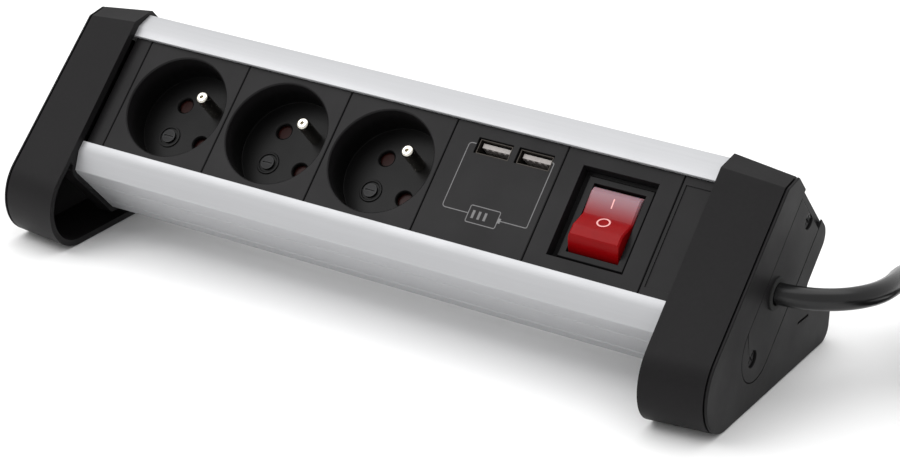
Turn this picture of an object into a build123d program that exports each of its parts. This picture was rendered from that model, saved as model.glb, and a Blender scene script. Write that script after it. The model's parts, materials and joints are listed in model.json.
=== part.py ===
"""Desk power strip: three mains sockets, a double USB charger and a rocker switch
in an aluminium profile that leans back at 45 degrees between two wedge-shaped end caps.

Frame: +X along the strip, -Y the front (user's side), +Z up, millimetres.
The origin is on the desk, under the middle of the strip.

Most pieces are drawn lying flat, in the face's own frame (x along the strip, u up the
slope, w out of the face, w = 0 on the module faces), and `lean` then tilts them.
"""
from build123d import *
import math
import os

os.makedirs("parts", exist_ok=True)

# ---------------------------------------------------------------- driving dimensions
MODULE = 45.0            # pitch and height of a module face
SOCKETS = 3
BLANK_W = 7.5            # filler strip beside the left cap
PANEL_W = 13.0           # plain end panel beside the right cap
CAP_W = 24.3             # one end cap along X
LEAN = 45.0              # slope of the face above the desk, degrees
FACE_Y, FACE_Z = -15.7, 56.4   # middle of the module faces, from the origin
BASE_Z = 0.3             # underside of the caps; rubber pads fill the rest
FIT = 0.05               # running clearance between sliding or clipped pieces
SHADOW_GAP = 0.7         # visible joint between the band of a cap and its end plate

LENGTH = BLANK_W + (SOCKETS + 2) * MODULE + PANEL_W
X_IN = LENGTH / 2                      # inner face of either cap
X_OUT = X_IN + CAP_W                   # outer face of either cap
FIRST = -X_IN + BLANK_W + MODULE / 2   # middle of the first module
SOCKET_X = [FIRST + i * MODULE for i in range(SOCKETS)]
USB_X = FIRST + SOCKETS * MODULE
SWITCH_X = USB_X + MODULE

# profile section, in (u, w)
LIP_IN, LIP_OUT, LIP_TOP = 22.9, 27.2, 1.75
NOSE_U, NOSE_W = 33.8, -1.6
SIDE_U, SIDE_TOP, SIDE_LOW = 34.2, -3.4, -34.0
BACK_U, BACK_W = 24.2, -44.0
WALL = 1.8
FLANGE_U, FLANGE_T = 24.8, 2.0         # module flange that slides under the lips
PROFILE_IN_CAP = 4.0                   # how far the profile reaches into either cap

# end caps
TAPER_TOP, TAPER_TIP, TAPER_REAR = 4.6, 0.8, 1.0   # how much the outer outline is drawn in
CAP_WALL = 2.4
CAP_SOFT = {                           # corner radii of the outline
    "tip": 17.6, "brow": 0.9, "top": 1.6, "shoulder": 6.0,
    "notch": 5.0, "heel_top": 4.5, "heel": 5.5,
}
BAND_END = X_OUT - 1.5                 # where the band stops and the shadow gap starts
PLATE_IN = BAND_END - 2.2              # inner face of the end plate
BULKHEAD = X_IN + PROFILE_IN_CAP
BULKHEAD_T = 2.4
SCREWS = [(-26.0, -25.6), (28.0, -27.2)]          # (u, w) of the cap screws
COVER_W, COVER_R, COVER_TOP = -26.2, 12.4, 30.2   # rounded cover strip on the end plate
COVER_LOW_U = -33.8
BOSS_R = 4.6
FOOT_Y, FOOT_X, FOOT_HALF = (-4.0, 40.0), X_IN + 11.5, 5.0
PAD_SINK = 0.8                         # depth of the pad's pocket

# socket
CUP_R, CUP_DEPTH = 20.2, 15.0
PIN_PITCH, PIN_HOLE_R = 19.0, 2.85
PIN_R = 2.4                             # a plug's pins and the earth pins
EARTH_OFFSET, EARTH_TIP = 10.0, -2.0
SKIRT = 43.6                            # outside of the square housing under the face
SCREW_SHANK_R = 1.45
POST_R = 1.9                            # the shutter turns on this post
TAIL_R = 1.4                            # rivet tails that hold the bus bars

# USB charger
PORT_X = (-4.8, 11.6)
PORT_U = 15.0
PORT_HALF_X, PORT_HALF_U = 7.0, 3.1
BOARD_POST, BOARD_POST_R = 16.5, 1.8
BOARD_W = -17.2                         # rear of the charger's board

# rocker switch
OPEN_X, OPEN_U, RECESS = 29.4, 35.0, 5.2
SEAT_X, SEAT_U, SEAT_T = 26.0, 32.0, 1.4
ROCKER_X, ROCKER_R = 19.5, 13.7
PIVOT_W = -10.4
ROCKER_TURN = 28.0                      # from ON to OFF
V_SLOPE = 18.0                          # each half of the rocker rises outwards
V_DEPTH = 7.4                           # fold line above the pivot
JOURNAL_R = 1.5
LEVER_W, LEVER_TURN = -24.5, 16.0
TERMINAL_U, TERMINAL_X = (-9.0, 0.0, 9.0), (-6.0, 6.0)

# cord
CORD_D = 8.0
CORD_W = -23.6                          # height of the cord in the box, along w
CORD_U = -1.9
CORE_R = 1.2
CLAMP_X0 = BULKHEAD + BULKHEAD_T
CLAMP_X1 = CLAMP_X0 + 12.5
CLAMP_HEAD_R, CLAMP_HEAD_T = 2.7, 1.8
CLAMP_SCREW_U = 8.6                     # either side of the cord
CORD_START_X = CLAMP_X1 - 4.4           # the sheath ends inside the clamp
COIL_C = (235.0, 59.5)
COIL_R_OUT, COIL_R_IN, COIL_LAYERS = 52.0, 34.8, 2
COIL_PITCH = 8.1
COIL_ROOM = 0.3                         # the coil's solid stands off its turns
TIE_T = 0.8

# plug, lying on the desk with its pins towards the front
TAIL_Y = 30.0                           # the cord enters its sleeve here
RELIEF_LONG, PLUG_LONG, PIN_LONG = 20.0, 36.0, 19.0
PLUG_Z = 19.5
PLUG_X = COIL_C[0] + COIL_R_OUT
PIN_ROOT_R = 1.8

S = math.sqrt(0.5)
D45 = PIN_PITCH / 2 * S                 # a pin hole's x and u from the socket's middle
E45 = EARTH_OFFSET * S


# ---------------------------------------------------------------- helpers
def spot(u, w):
    """World (y, z) of a point of the flat section."""
    return FACE_Y + (u - w) * S, FACE_Z + (u + w) * S


def lean(piece, x=0.0):
    """Tilt a piece from the flat frame into its place on the slope."""
    frame = Plane(origin=(x, FACE_Y, FACE_Z), x_dir=(1, 0, 0), z_dir=(0, -S, S))
    return frame.location * piece


def block(x0, x1, u0, u1, w0, w1):
    """Box between two corners."""
    centre = Pos((x0 + x1) / 2, (u0 + u1) / 2, (w0 + w1) / 2)
    return centre * Box(abs(x1 - x0), abs(u1 - u0), abs(w1 - w0))


def rod(r, x, u, w0, w1):
    """Cylinder square to the face, from w0 to w1."""
    return Pos(x, u, (w0 + w1) / 2) * Cylinder(r, abs(w1 - w0))


def rod_x(r, u, w, x0, x1):
    """Cylinder along the strip."""
    return Pos((x0 + x1) / 2, u, w) * Rot(0, 90, 0) * Cylinder(r, abs(x1 - x0))


def prism(points, x0, x1, soft=()):
    """Extrude an outline of (u or y, w or z) points along X; soft is ((point, radius), ...)."""
    face = Plane.YZ * make_face(Polyline(*points, close=True))
    for (a, b), r in soft:
        corner = min(face.vertices(), key=lambda v: (v.Y - a) ** 2 + (v.Z - b) ** 2)
        face = fillet(corner, r)
    return Pos(x0, 0, 0) * extrude(face, x1 - x0, dir=(1, 0, 0))


def save(name, *pieces):
    """Write one named piece, or a group of separate equal pieces, to its STEP file."""
    solids = [s for p in pieces for s in p.solids()]
    shape = solids[0] if len(solids) == 1 else Compound(children=solids)
    shape.label = name
    export_step(shape, f"parts/{name}.step")


def mirrored(piece):
    return mirror(piece, about=Plane.YZ)


# ---------------------------------------------------------------- aluminium profile
def profile_outline(grow=0.0):
    g = grow
    right = [
        (LIP_OUT, LIP_TOP + g),
        (NOSE_U + 0.6 * g, NOSE_W + 0.8 * g),
        (SIDE_U + g, SIDE_TOP + 0.3 * g),
        (SIDE_U + g, SIDE_LOW - 0.4 * g),
        (BACK_U + 0.4 * g, BACK_W - g),
    ]
    return right + [(-u, w) for u, w in reversed(right)]


def aluminium_profile():
    x1 = X_IN + PROFILE_IN_CAP
    body = prism(profile_outline(), -x1, x1)
    inner_u = SIDE_U - WALL
    cavity = [
        (inner_u, -2 * FLANGE_T - 0.3),
        (inner_u, SIDE_LOW + 0.5),
        (BACK_U - 0.75, BACK_W + WALL),
        (-BACK_U + 0.75, BACK_W + WALL),
        (-inner_u, SIDE_LOW + 0.5),
        (-inner_u, -2 * FLANGE_T - 0.3),
    ]
    body -= prism(cavity, -x1, x1)
    channel_u = FLANGE_U + FIT
    body -= block(-x1, x1, -channel_u, channel_u, -FLANGE_T - 0.3, 0.0)
    body -= block(-x1, x1, -LIP_IN, LIP_IN, -6.0, LIP_TOP + 1.0)
    for side in (-1, 1):
        for w in (-12.0, -27.5):
            groove = block(-x1, x1, side * (SIDE_U - 0.5), side * (SIDE_U + 1), w - 0.4, w + 0.4)
            body -= groove
    return lean(body)


# ---------------------------------------------------------------- end caps
def cap_corners(t):
    """Corners of a cap's outline in (y, z); t runs from 0 at the strip to 1 at the outer face."""
    top_w, tip_w = 5.2 - TAPER_TOP * t, 5.2 - TAPER_TIP * t
    side_u, back_w = 35.8 - 1.9 * t, -49.8 + TAPER_REAR * t
    heel_y, notch_z = 53.4 - TAPER_REAR * t, 27.0
    return {
        "tip": (FACE_Y + (BASE_Z - FACE_Z) - tip_w / S, BASE_Z),
        "brow": spot(27.0, top_w),
        "top": spot(side_u, top_w - 6.6 + 1.6 * t),
        "shoulder": spot(side_u, back_w),
        "notch": (FACE_Y + notch_z - FACE_Z - back_w / S, notch_z),
        "heel_top": (heel_y, 13.0),
        "heel": (heel_y, BASE_Z),
    }


def cap_face(x, t, shrink=0.0):
    """A cap's outline as a face across X; shrink pulls every edge in, the base too."""
    corners = cap_corners(t)
    face = Plane.YZ.offset(x) * make_face(Polyline(*corners.values(), close=True))
    if shrink:
        face = offset(face, -shrink, kind=Kind.INTERSECTION)
    for name, radius in CAP_SOFT.items():
        a, b = corners[name]
        r = radius + shrink if name == "notch" else max(radius - shrink, 0.4)
        corner = min(face.vertices(), key=lambda v: (v.Y - a) ** 2 + (v.Z - b) ** 2)
        face = fillet(corner, r)
    return face


def cap_solid(x0, x1, shrink=0.0):
    """The tapering wedge of a cap between two stations along X."""
    ends = [cap_face(x, (x - X_IN) / CAP_W, shrink) for x in (x0, x1)]
    return loft(ends, ruled=True)


def cap_shell(cord_hole):
    """Right-hand band: tapering wall, saddle for the profile, bulkhead and screw bosses."""
    band = cap_solid(X_IN, BAND_END) - cap_solid(X_IN, BAND_END, CAP_WALL)
    inside = cap_solid(X_IN, BAND_END, CAP_WALL / 2)
    saddle = lean(prism(profile_outline(1.9), X_IN, BULKHEAD + BULKHEAD_T)) & inside
    front = lean(block(X_IN, BULKHEAD + BULKHEAD_T, -33.0, 33.0, -4.0, 4.0)) & inside
    shell = band + saddle + front
    shell -= lean(prism(profile_outline(0.02), X_IN - 1, BULKHEAD))
    for u, w in SCREWS:
        shell += lean(rod_x(BOSS_R, u, w, BULKHEAD + BULKHEAD_T, PLATE_IN))
        shell -= lean(rod_x(1.45, u, w, BULKHEAD + 0.8, PLATE_IN + 1))
    if cord_hole:
        shell -= lean(cord_bore(0.5, BULKHEAD - 1, BULKHEAD + BULKHEAD_T + 1))
    for y in FOOT_Y:
        shell -= foot_block(y, BASE_Z, BASE_Z + PAD_SINK)
    return shell


def cord_bore(room, x0, x1):
    """Cylinder on the cord's line where it leaves the strip, in the flat frame."""
    return rod_x(CORD_D / 2 + room, CORD_U, CORD_W, x0, x1)


def foot_block(y, z0, z1):
    return block(FOOT_X - FOOT_HALF, FOOT_X + FOOT_HALF, y - FOOT_HALF, y + FOOT_HALF, z0, z1)


def foot_pads():
    pads = []
    for y in FOOT_Y:
        pad = foot_block(y, 0.0, BASE_Z + PAD_SINK)
        pad = fillet(pad.edges().group_by(Axis.Z)[0], 0.5)
        pads += [pad, mirrored(pad)]
    return pads


def cover_outline(grow=0.0, low=0.0):
    """Strip with one round end, in (u, w)."""
    r = COVER_R + grow
    centre = COVER_LOW_U + COVER_R
    top = COVER_TOP + grow + low
    w0, w1 = COVER_W - r, COVER_W + r
    arc = CenterArc((centre, COVER_W), r, 90, 180)
    sides = Polyline((centre, w0), (top, w0), (top, w1), (centre, w1))
    return make_face(Curve() + [arc, sides])


def cover_prism(x0, x1, grow=0.0, low=0.0):
    return Pos(x0, 0, 0) * extrude(Plane.YZ * cover_outline(grow, low), x1 - x0, dir=(1, 0, 0))


def end_plate(cord_hole):
    """Right-hand end plate: rim, shadow-gap neck, spigot, and the pocket of the cover strip."""
    rim = cap_solid(BAND_END + SHADOW_GAP, X_OUT)
    rim = fillet(rim.edges().filter_by(lambda e: e.center().X > X_OUT - 0.01), 0.4)
    neck = cap_solid(BAND_END, BAND_END + SHADOW_GAP, 1.2)
    spigot = cap_solid(PLATE_IN, BAND_END, CAP_WALL + 0.15)
    plate = rim + neck + spigot
    plate -= lean(cover_prism(PLATE_IN + 1.8, X_OUT + 1, 0.35, 8.0))
    for u, w in SCREWS:
        plate -= lean(rod_x(1.8, u, w, PLATE_IN - 1, X_OUT))
    if cord_hole:
        plate -= lean(cord_bore(1.6, PLATE_IN - 1, X_OUT))
        slit = block(X_OUT - 0.8, X_OUT + 1, -4.7, 4.7, -0.5, 0.5)
        plate -= Pos(0, 26.7, 18.0) * Rot(-1.6, 0, 0) * slit
    return plate


def cover_strip(cord_hole):
    """Strip over the cap screws, flush with the end plate; the cord leaves through it."""
    strip = lean(cover_prism(PLATE_IN + 1.8, X_OUT))
    strip &= cap_solid(PLATE_IN, X_OUT, 0.3)
    for u, w in SCREWS:
        strip -= lean(rod_x(3.2, u, w, PLATE_IN, X_OUT + 1))
    if cord_hole:
        strip -= lean(cord_bore(1.6, PLATE_IN - 1, X_OUT + 1))
    return strip


def cap_screws():
    """Two pan-head screws from the end plate into the bosses."""
    screws = []
    for u, w in SCREWS:
        head_x = PLATE_IN + 1.8
        head = rod_x(2.8, u, w, head_x, head_x + 1.1)
        head -= block(head_x + 0.5, head_x + 2, u - 2.2, u + 2.2, w - 0.35, w + 0.35)
        head -= block(head_x + 0.5, head_x + 2, u - 0.35, u + 0.35, w - 2.2, w + 2.2)
        screws.append(lean(head + rod_x(1.4, u, w, BULKHEAD + 1.2, head_x)))
    return screws


# ---------------------------------------------------------------- module faces
def module_face(width):
    """Face plate of one module: visible 45 mm high face with flanges under the lips."""
    half = width / 2 - FIT
    plate = block(-half, half, -FLANGE_U, FLANGE_U, -FLANGE_T, -0.02)
    edges = plate.edges().filter_by(Axis.Y).group_by(Axis.Z)[-1]
    return chamfer(edges, 0.35)


def blank_strip():
    return lean(module_face(BLANK_W), -X_IN + BLANK_W / 2)


def end_panel():
    panel = module_face(PANEL_W)
    panel -= block(-PANEL_W / 2 + 1.5, PANEL_W / 2 + 1, -19.6, 19.6, -0.45, 1.0)
    return lean(panel, X_IN - PANEL_W / 2)


# ---------------------------------------------------------------- sockets
def pin_spots():
    return [(-D45, D45), (D45, -D45)]


def socket_housing(x):
    out, inside = SKIRT / 2, SKIRT / 2 - 1.3
    skirt = block(-out, out, -out, out, -29.0, -FLANGE_T)
    skirt -= block(-inside, inside, -inside, inside, -30.0, -FLANGE_T)
    cup = rod(CUP_R + 1.4, 0, 0, -CUP_DEPTH - 1.8, -FLANGE_T)
    body = module_face(MODULE) + skirt + cup
    body -= rod(CUP_R, 0, 0, -CUP_DEPTH, 1.0)
    body += rod(POST_R, 0, 0, -22.0, -CUP_DEPTH - 1.8)
    for px, pu in pin_spots():
        hole = rod(PIN_HOLE_R, px, pu, -CUP_DEPTH - 3, -CUP_DEPTH)
        hole += Pos(px, pu, -CUP_DEPTH - 0.3) * Cone(PIN_HOLE_R, PIN_HOLE_R + 0.6, 0.6)
        body -= hole
    body -= rod(PIN_R - 0.2, E45, E45, -CUP_DEPTH - 3, -CUP_DEPTH)
    ring = rod(4.4, -E45, -E45, -CUP_DEPTH, -CUP_DEPTH + 0.5)
    ring -= rod(3.6, -E45, -E45, -CUP_DEPTH, -CUP_DEPTH + 0.5)
    body += ring
    body -= rod(1.6, -E45, -E45, -CUP_DEPTH - 3, -CUP_DEPTH + 1)
    rim = body.edges().filter_by(GeomType.CIRCLE).filter_by(
        lambda e: abs(e.radius - CUP_R) < 0.01 and e.center().Z > -0.5)
    return lean(chamfer(rim, 0.5), x)


def socket_shutter(x):
    """Two-winged shutter that turns on the post under the socket's floor."""
    top = -CUP_DEPTH - 2.1
    wing = block(-13.0, 13.0, -3.3, 3.3, top - 1.4, top)
    wing &= rod(13.0, 0, 0, top - 2, top + 1)
    hub = rod(3.6, 0, 0, top - 2.6, top)
    shutter = Rot(0, 0, 135) * wing + hub
    shutter -= rod(POST_R + FIT, 0, 0, top - 4, top + 1)
    return lean(shutter, x)


def shutter_spring(x):
    """Hairpin ring round the post, under the shutter's hub."""
    w = -CUP_DEPTH - 5.5
    ring = Pos(0, 0, w) * Torus(3.0, 0.4)
    leg = rod_x(0.35, -3.0, w, -0.8, 12.0)
    return lean(ring + leg, x)


def earth_pin(x):
    pin = rod(PIN_R, E45, E45, -CUP_DEPTH, EARTH_TIP)
    pin = fillet(pin.edges().group_by(Axis.Z)[-1], 1.0)
    pin += rod(PIN_R - 0.2, E45, E45, -28.0, -CUP_DEPTH)
    pin -= rod(0.75, E45, E45, EARTH_TIP - 2.5, EARTH_TIP + 1)
    collar = rod(4.0, E45, E45, -19.0, -CUP_DEPTH - 1.8)
    tail = rod(TAIL_R, E45, E45, -37.6, -28.0)
    return lean(pin + collar + tail, x)


def contact_sleeves(x):
    """Two split brass sleeves that grip the plug's pins, each with a rivet tail."""
    sleeves = []
    for px, pu in pin_spots():
        sleeve = rod(3.4, px, pu, -28.9, -20.4) - rod(2.45, px, pu, -27.9, -20.0)
        sleeve -= block(px - 0.4, px + 0.4, pu, pu + 4, -26.0, -20.0)
        sleeves.append(lean(sleeve + rod(TAIL_R, px, pu, -34.9, -28.9), x))
    return sleeves


def socket_rear(x):
    cover = block(-SKIRT / 2, SKIRT / 2, -SKIRT / 2, SKIRT / 2, -31.0, -29.0)
    for px, pu in pin_spots() + [(E45, E45)]:
        cover -= rod(TAIL_R + FIT, px, pu, -32.0, -28.0)
    cover -= rod(1.6, -E45, -E45, -32.0, -28.0)
    return lean(cover, x)


def socket_screw(x):
    """Screw at the bottom of the recess that closes the housing."""
    head = rod(2.6, -E45, -E45, -CUP_DEPTH, -CUP_DEPTH + 0.9)
    slot = block(-2.0, 2.0, -0.3, 0.3, -CUP_DEPTH + 0.4, -CUP_DEPTH + 2)
    head -= Pos(-E45, -E45, 0) * slot
    shank = rod(SCREW_SHANK_R, -E45, -E45, -30.6, -CUP_DEPTH)
    return lean(head + shank, x)


# ---------------------------------------------------------------- bus bars
def bus_bar(u, w, x0, x1, width, holes, clear=()):
    bar = block(x0, x1, u - width / 2, u + width / 2, w - 0.8, w)
    for hx, hu in holes:
        bar -= rod(TAIL_R + FIT, hx, hu, w - 2, w + 1)
    for hx, hu in clear:
        bar -= rod(2.6, hx, hu, w - 2, w + 1)
    return lean(bar)


def live_bar():
    holes = [(x + D45, -D45) for x in SOCKET_X]
    return bus_bar(-D45, -34.0, SOCKET_X[0] - 2, SWITCH_X - 17.0, 8.0, holes)


def neutral_bar():
    holes = [(x - D45, D45) for x in SOCKET_X]
    clear = [(x + E45, E45) for x in SOCKET_X]
    return bus_bar(D45 + 1.0, -34.0, SOCKET_X[0] - 12, SWITCH_X - 17.0, 10.0, holes, clear)


def earth_bar():
    holes = [(x + E45, E45) for x in SOCKET_X]
    return bus_bar(E45 + 1.0, -36.6, SOCKET_X[0], X_IN - 6, 7.0, holes)


# ---------------------------------------------------------------- USB charger
def usb_face():
    face = module_face(MODULE)
    hole = block(-PORT_HALF_X, PORT_HALF_X, -PORT_HALF_U, PORT_HALF_U, -4, 1)
    for px in PORT_X:
        face -= Pos(px, PORT_U, 0) * hole
    for side in (-1, 1):
        face += rod(BOARD_POST_R, side * BOARD_POST, -BOARD_POST, -24.0, -FLANGE_T)
    return lean(face, USB_X)


def usb_shell(px):
    """Folded sheet-metal sleeve of one port, open to the front."""
    x0, x1 = px - 6.55, px + 6.55
    u0, u1 = PORT_U - 2.85, PORT_U + 2.85
    sleeve = block(x0, x1, u0, u1, -15.5, -0.9)
    sleeve -= block(x0 + 0.35, x1 - 0.35, u0 + 0.35, u1 - 0.35, -15.2, 0)
    return lean(sleeve, USB_X)


def usb_tongue(px):
    """Insulator with four contact strips."""
    tongue = block(px - 5.6, px + 5.6, PORT_U + 0.2, PORT_U + 2.0, -15.2, -2.4)
    for k in (-3.6, -1.2, 1.2, 3.6):
        tongue += block(px + k - 0.5, px + k + 0.5, PORT_U - 0.05, PORT_U + 0.2, -14.0, -2.8)
    return lean(tongue, USB_X)


def usb_board():
    board = block(-20.0, 20.0, -20.5, 20.5, BOARD_W, BOARD_W + 1.6)
    for side in (-1, 1):
        board -= rod(BOARD_POST_R + FIT, side * BOARD_POST, -BOARD_POST, -18, -15)
    return lean(board, USB_X)


def usb_transformer():
    core = block(-8.0, 8.0, -14.0, 2.0, -30.0, BOARD_W)
    core = fillet(core.edges().filter_by(Axis.Z), 1.0)
    band = block(-8.6, 8.6, -9.5, -2.5, -28.5, -18.5)
    return lean(core + band, USB_X)


def usb_capacitors():
    spots = [(-14.5, 6.0), (14.5, 6.0), (-14.5, -8.0)]
    return [lean(rod(4.0, px, pu, -29.0, BOARD_W), USB_X) for px, pu in spots]


# ---------------------------------------------------------------- rocker switch
def switch_frame():
    """Module face with the sunk well that the switch is clipped into."""
    half_x, half_u = OPEN_X / 2, OPEN_U / 2
    frame = module_face(MODULE)
    frame += block(-half_x - 1.5, half_x + 1.5, -half_u - 1.5, half_u + 1.5, -RECESS - 1.5, -FLANGE_T)
    frame -= block(-half_x, half_x, -half_u, half_u, -RECESS, 1.0)
    frame -= block(-12.4, 12.4, -15.6, 15.6, -RECESS - 3, 0)
    return lean(frame, SWITCH_X)


def switch_body():
    """Black housing: seat flange, box, and the journals of the rocker."""
    half_x, half_u, floor = 12.3, 15.5, -28.0
    body = block(-half_x, half_x, -half_u, half_u, floor, -RECESS)
    seat_x, seat_u = SEAT_X / 2, SEAT_U / 2
    seat = block(-seat_x, seat_x, -seat_u, seat_u, -RECESS, -RECESS + SEAT_T)
    seat = chamfer(seat.edges().group_by(Axis.Z)[-1], 0.5)
    body += seat
    room_x, room_u = half_x - 1.3, ROCKER_R + 0.35
    body -= block(-room_x, room_x, -room_u, room_u, floor + 1.5, -RECESS - 1.0)
    mouth_x = ROCKER_X / 2 + 0.35
    body -= block(-mouth_x, mouth_x, -13.4, 13.4, -RECESS - 2, 0)
    body -= rod_x(JOURNAL_R + FIT, 0, PIVOT_W, -half_x - 1, half_x + 1)
    for tu in TERMINAL_U:
        for tx in TERMINAL_X:
            body -= block(tx - 2.45, tx + 2.45, tu - 0.45, tu + 0.45, floor - 1, floor + 2)
    return lean(body, SWITCH_X)


def rocker_outline():
    """Section of the rocker in its middle position, as a face in (u, w) about the pivot."""
    slope = math.tan(math.radians(V_SLOPE))
    big = 2 * ROCKER_R
    wedge = Polyline(
        (0, V_DEPTH), (big, V_DEPTH + slope * big), (big, -2.5), (-big, -2.5),
        (-big, V_DEPTH + slope * big), close=True)
    return make_face(wedge) & Circle(ROCKER_R)


def rocker():
    """Red rocker, drawn in its middle position and turned to ON."""
    body = extrude(Plane.YZ * rocker_outline(), ROCKER_X / 2, both=True)
    body -= block(-ROCKER_X / 2 + 1.6, ROCKER_X / 2 - 1.6, -9.6, 9.6, -6, 4.6)
    body += block(-3.0, 3.0, -2.2, 2.2, -9.0, V_DEPTH - 0.5)
    body += rod_x(JOURNAL_R, 0, 0, -11.6, 11.6)
    ends = body.edges().filter_by(Axis.X).filter_by(
        lambda e: e.center().Z > 6.0 and abs(e.center().Y) > 5.0).sort_by(Axis.Y)
    body = chamfer(ends[0], 2.2)
    far = body.edges().filter_by(Axis.X).filter_by(lambda e: e.center().Z > 6.0).sort_by(Axis.Y)[-1]
    body = chamfer(far, 0.9)
    sides = body.edges().filter_by(
        lambda e: abs(abs(e.center().X) - ROCKER_X / 2) < 0.01 and e.center().Z > 6.0)
    body = chamfer(sides, 0.6)
    body -= block(-1.2, 1.2, -1.2, 1.2, -10, -3.0)
    return at_on(body)


def at_on(piece):
    """Turn a piece of the rocker from its middle position to ON and put it in the switch."""
    return lean(Pos(0, 0, PIVOT_W) * Rot(-ROCKER_TURN / 2, 0, 0) * piece, SWITCH_X)


def plunger():
    """Sprung brass pin in the rocker's post that tips the contact levers."""
    pin = rod(1.1, 0, 0, -12.0, -3.0) + Pos(0, 0, -12.0) * Sphere(1.1)
    return at_on(pin & block(-2, 2, -2, 2, -12.6, -3.0))


def contact_levers():
    """Yoke of two copper seesaw contacts, tipped towards the ON terminal."""
    yoke = block(-8.0, 8.0, -2.0, 2.0, 0.0, 0.8)
    for tx in TERMINAL_X:
        yoke += block(tx - 2.0, tx + 2.0, -10.5, 10.5, 0.0, 0.8)
        yoke += rod(1.2, tx, -9.0, -0.6, 0.0) + rod(1.2, tx, 9.0, -0.6, 0.0)
    return lean(Pos(0, 0, LEVER_W) * Rot(LEVER_TURN / 2, 0, 0) * yoke, SWITCH_X)


def switch_terminals():
    """Six blade terminals through the floor; the two middle ones carry the levers."""
    blades = []
    for tu in TERMINAL_U:
        top = -26.7 if tu else LEVER_W - 0.15
        for tx in TERMINAL_X:
            blade = block(tx - 2.4, tx + 2.4, tu - 0.4, tu + 0.4, -34.5, top)
            blades.append(lean(blade, SWITCH_X))
    return blades


def neon_lamp():
    """Indicator lamp inside the rocker's raised half."""
    glass = rod_x(1.9, -6.0, 1.6, -5.0, 5.0)
    glass = fillet(glass.edges(), 0.8)
    return at_on(glass)


# ---------------------------------------------------------------- wiring inside
def bent_wire(points, radii, r):
    """Round wire along straight runs joined by tangent arcs."""
    path = FilletPolyline(*points, radius=radii)
    start = path @ 0
    section = Plane(origin=start, z_dir=path % 0) * Circle(r)
    return sweep(section, path=path)


def run_radii(points, share=0.45):
    """Largest arc at each corner: share of the shorter run over the tangent of half the turn."""
    radii = []
    for a, b, c in zip(points, points[1:], points[2:]):
        before, after = Vector(*b) - Vector(*a), Vector(*c) - Vector(*b)
        half = math.radians(before.get_angle(after)) / 2
        radii.append(share * min(before.length, after.length) / math.tan(half))
    return radii


def cord_cores():
    """Three insulated cores from the cord's cut end to the switch and the earth bar."""
    x0, x1, x2 = CORD_START_X - 0.1, X_IN - 1.0, X_IN - 10.0
    u, w = CORD_U, CORD_W
    runs = {
        "core_live": [
            (x0, u - 2.2, w - 1.3), (x1, u - 2.4, w - 1.4), (x2, u - 6.5, -28.0),
            (SWITCH_X + 14, -8.0, -33.0), (SWITCH_X + 10, -9.0, -33.5)],
        "core_neutral": [
            (x0, u, w + 2.5), (x1, u + 0.2, w + 2.4), (x2, u + 6.0, -27.0),
            (SWITCH_X + 14, 7.0, -31.5), (SWITCH_X + 10, 9.0, -32.5)],
        "core_earth": [
            (x0, u + 2.2, w - 1.3), (x1, u + 2.4, w - 1.4),
            (x1 - 5, u + 5.0, -29.0), (x1 - 9, E45 - 1.0, -34.5)],
    }
    return {name: lean(bent_wire(run, run_radii(run, 0.3), CORE_R)) for name, run in runs.items()}


def cord_clamp():
    """Block screwed to the bulkhead that grips the cord's sheath."""
    clamp = block(CLAMP_X0, CLAMP_X1, CORD_U - 12.5, CORD_U + 12.5, CORD_W - 6.5, CORD_W + 6.5)
    clamp = fillet(clamp.edges().filter_by(Axis.X), 2.0)
    clamp -= cord_bore(0.1, CLAMP_X0 - 1, CLAMP_X1 + 1)
    for side in (-1, 1):
        u = CORD_U + side * CLAMP_SCREW_U
        clamp -= rod_x(SCREW_SHANK_R + 0.15, u, CORD_W, CLAMP_X0 - 1, CLAMP_X1 + 1)
        clamp -= rod_x(CLAMP_HEAD_R + 0.1, u, CORD_W, CLAMP_X1 - CLAMP_HEAD_T, CLAMP_X1 + 1)
    return lean(clamp)


def clamp_screws():
    screws = []
    for side in (-1, 1):
        u = CORD_U + side * CLAMP_SCREW_U
        head = rod_x(CLAMP_HEAD_R, u, CORD_W, CLAMP_X1 - CLAMP_HEAD_T, CLAMP_X1)
        shank = rod_x(SCREW_SHANK_R, u, CORD_W, CLAMP_X0, CLAMP_X1 - CLAMP_HEAD_T)
        screws.append(lean(head + shank))
    return screws


def cord_bush():
    """Rubber bush that lines the exit hole, with a thin collar outside."""
    collar = cord_bore(2.0, X_OUT, X_OUT + 0.7)
    collar = fillet(collar.edges().group_by(Axis.X)[-1], 0.3)
    bush = cord_bore(1.55, PLATE_IN, X_OUT) + collar
    return lean(bush - cord_bore(0.15, PLATE_IN - 1, X_OUT + 2))


# ---------------------------------------------------------------- cord
EXIT_Y, EXIT_Z = spot(CORD_U, CORD_W)
ROUTE = [
    (CORD_START_X, EXIT_Y, EXIT_Z),
    (152.5, EXIT_Y, EXIT_Z),
    (166.5, 7.4, 38.0),
    (174.6, 21.3, 37.0),
    (175.0, 38.3, 34.5),
    (170.8, 56.1, 30.0),
    (169.7, 75.0, 23.5),
    (176.2, 91.6, 14.5),
    (188.8, 104.2, 7.5),
    (205.0, 110.9, 4.2),
    (221.0, 111.8, CORD_D / 2),
    (235.0, 111.5, CORD_D / 2),
]


def mains_cord():
    radii = run_radii(ROUTE)
    print("cord arc radii", [round(r, 1) for r in radii])
    path = FilletPolyline(*ROUTE, radius=radii)
    section = Plane(origin=ROUTE[0], z_dir=path % 0) * Circle(CORD_D / 2)
    tube = sweep(section, path=path)
    area = math.pi * CORD_D ** 2 / 4
    print("cord tube length", round(path.length, 1), "volume / (section x length)",
          round(tube.volume / (area * path.length), 4))
    return tube


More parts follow.
